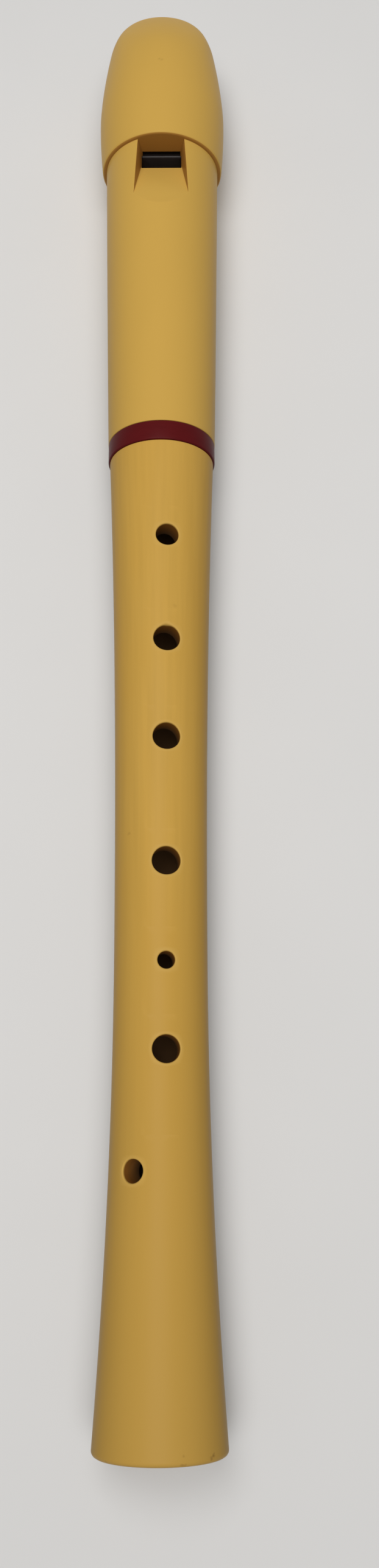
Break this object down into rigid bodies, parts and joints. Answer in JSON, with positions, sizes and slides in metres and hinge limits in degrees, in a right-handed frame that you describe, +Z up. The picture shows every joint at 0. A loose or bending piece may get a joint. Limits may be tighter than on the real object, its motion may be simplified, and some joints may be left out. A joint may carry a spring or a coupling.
{
  "type": "descant recorder",
  "caption": "Descant recorder: a beaked head joint with a window and windway, a coloured ring at the joint, and a waisted body with finger holes and a flared foot.",
  "frame": {"origin": "on the surface the recorder lies on, under the middle of its length and width", "axes": "+Y along the bore towards the beak tip, +Z up through the window, +X to the right seen from above with the beak away from the viewer; at rest the body is turned 8 degrees on its tenon, its finger holes towards +X, and head_twist at 8 degrees lines up window and holes"},
  "size_m": [0.03, 0.3238, 0.0298],
  "materials": {
    "body_wood": "satin lacquer",
    "cork": "natural cork",
    "ring_plastic": "satin",
    "head_plastic": "satin",
    "block_plastic": "matte"
  },
  "bodies": {
    "body": {"lower_body": "body_wood", "tenon_cork": "cork"},
    "ring": {"colour_ring": "ring_plastic"},
    "head": {"head_tube": "head_plastic", "beak_cap": "head_plastic", "block": "block_plastic"}
  },
  "joints": [
    {"name": "head_twist", "type": "hinge", "parent": "body", "child": "ring", "pos_m": [0, 0.04495, 0.01483], "axis": [0, 1, 0], "continuous": true},
    {"name": "head_pull", "type": "slide", "parent": "ring", "child": "head", "axis": [0, 1, 0], "range_m": [0, 0.03]}
  ]
}
